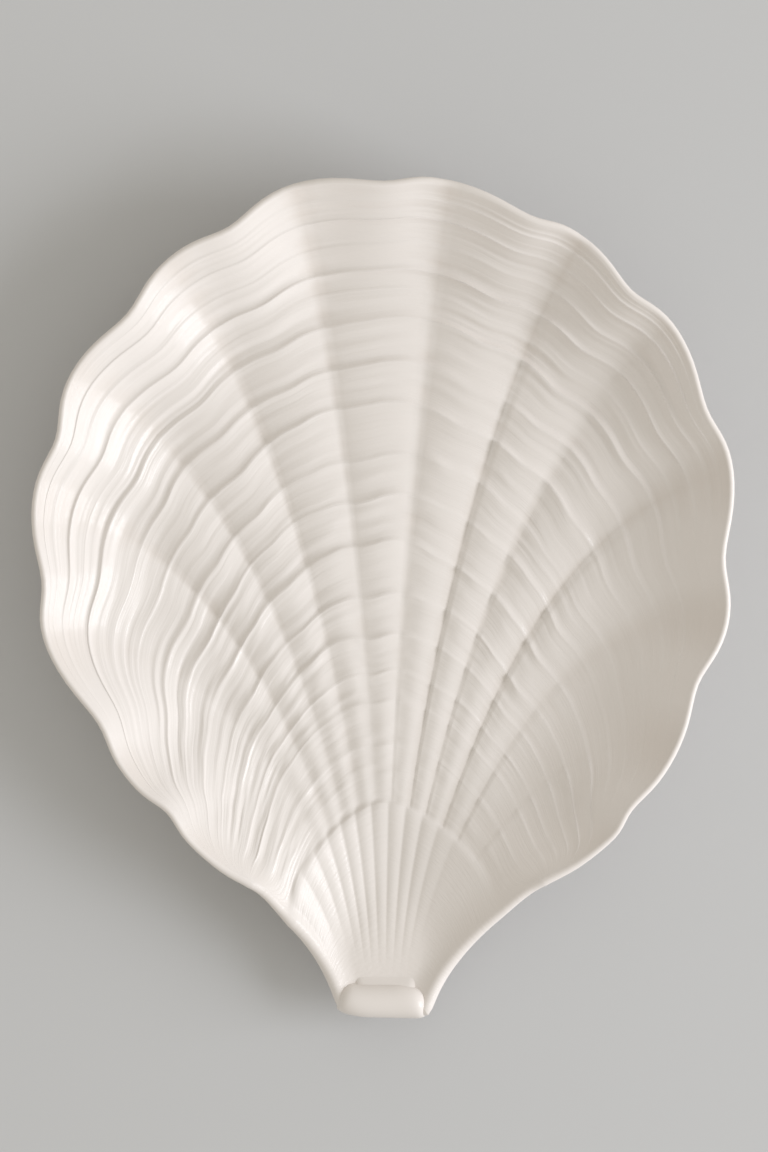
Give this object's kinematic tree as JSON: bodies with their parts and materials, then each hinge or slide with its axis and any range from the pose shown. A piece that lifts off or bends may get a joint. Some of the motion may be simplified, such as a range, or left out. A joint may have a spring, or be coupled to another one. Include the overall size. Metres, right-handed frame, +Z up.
{
  "type": "shell plate",
  "caption": "Scallop-shaped glazed earthenware serving plate: dished, ribbed bowl with growth lines, a narrow neck with a rolled hinge lip, and a round foot ring.",
  "frame": {"origin": "on the table under the middle of the plate's box", "axes": "+Z up out of the bowl, +Y from the hinge end to the crown of the rim, +X to the right seen from above"},
  "size_m": [0.1841, 0.2213, 0.0275],
  "materials": {
    "glaze": "glossy cream-white glaze",
    "bare_clay": "unglazed matt clay"
  },
  "bodies": {
    "root": {"shell_body": "glaze", "hinge_lip": "glaze", "hinge_ledge": "glaze", "foot_ring": "bare_clay"}
  },
  "joints": []
}
